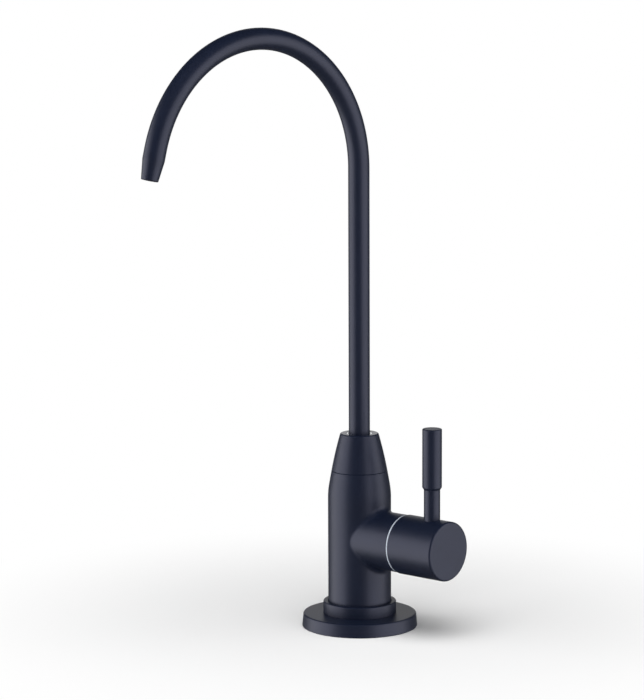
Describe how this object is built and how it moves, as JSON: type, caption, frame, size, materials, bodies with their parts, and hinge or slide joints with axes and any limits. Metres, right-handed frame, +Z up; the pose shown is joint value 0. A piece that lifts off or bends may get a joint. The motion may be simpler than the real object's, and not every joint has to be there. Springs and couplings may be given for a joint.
{
  "type": "water tap",
  "caption": "Slim matte-black drinking-water tap: round base, tapered body, swivelling gooseneck spout, side branch with a quarter-turn pin lever, threaded shank and clamp set.",
  "frame": {"origin": "centre of the tap's footprint on the worktop: the worktop's surface is z = 0 and the spout's swivel axis is Z", "axes": "+Z up along the body and spout, -Y to the user, +X along the handle's axis, away from the body"},
  "size_m": [0.0777, 0.1488, 0.3284],
  "materials": {
    "black_coat": "matte blue-black powder coat",
    "bright_chrome": "polished chrome plate",
    "plain_brass": "turned brass",
    "black_rubber": "moulded EPDM rubber",
    "valve_ceramic": "lapped alumina",
    "white_acetal": "moulded acetal",
    "zinc_steel": "zinc-plated steel"
  },
  "bodies": {
    "tap_body": {"base_flange": "black_coat", "base_collar": "black_coat", "deck_gasket": "black_rubber", "threaded_shank": "plain_brass", "valve_body": "black_coat", "cone_nut": "black_coat", "spout_bush": "bright_chrome", "cartridge_housing": "plain_brass", "housing_oring": "black_rubber", "cartridge_seal": "black_rubber", "fixed_disc": "valve_ceramic", "trim_ring": "white_acetal"},
    "spout": {"spout_tube": "black_coat", "spout_plug": "plain_brass", "spout_oring_lower": "black_rubber", "spout_oring_upper": "black_rubber", "slip_washer": "white_acetal"},
    "handle": {"handle_hub": "black_coat", "lever": "black_coat", "valve_stem": "plain_brass", "moving_disc": "valve_ceramic", "stem_oring": "black_rubber", "stem_circlip": "zinc_steel"},
    "clamp_washers": {"rubber_washer": "black_rubber", "steel_washer": "zinc_steel", "lock_washer": "zinc_steel"},
    "clamp_nut": {"clamp_nut": "plain_brass"}
  },
  "joints": [
    {"name": "spout_swivel", "type": "hinge", "parent": "tap_body", "child": "spout", "pos_m": [0, 0, 0.078], "axis": [0, 0, 1], "continuous": true},
    {"name": "handle_turn", "type": "hinge", "parent": "tap_body", "child": "handle", "pos_m": [0, 0, 0.0411], "axis": [1, 0, 0], "range_deg": [0, 90]},
    {"name": "nut_turn", "type": "hinge", "parent": "clamp_washers", "child": "clamp_nut", "pos_m": [0, 0, -0.036], "axis": [0, 0, 1], "range_deg": [-1350, 8460]},
    {"name": "washers_travel", "type": "slide", "parent": "tap_body", "child": "clamp_washers", "axis": [0, 0, 1], "range_m": [-0.004, 0.025]}
  ],
  "couplings": [
    {"joint": "washers_travel", "follows": "nut_turn", "m_per_rad": 0.00016844}
  ]
}
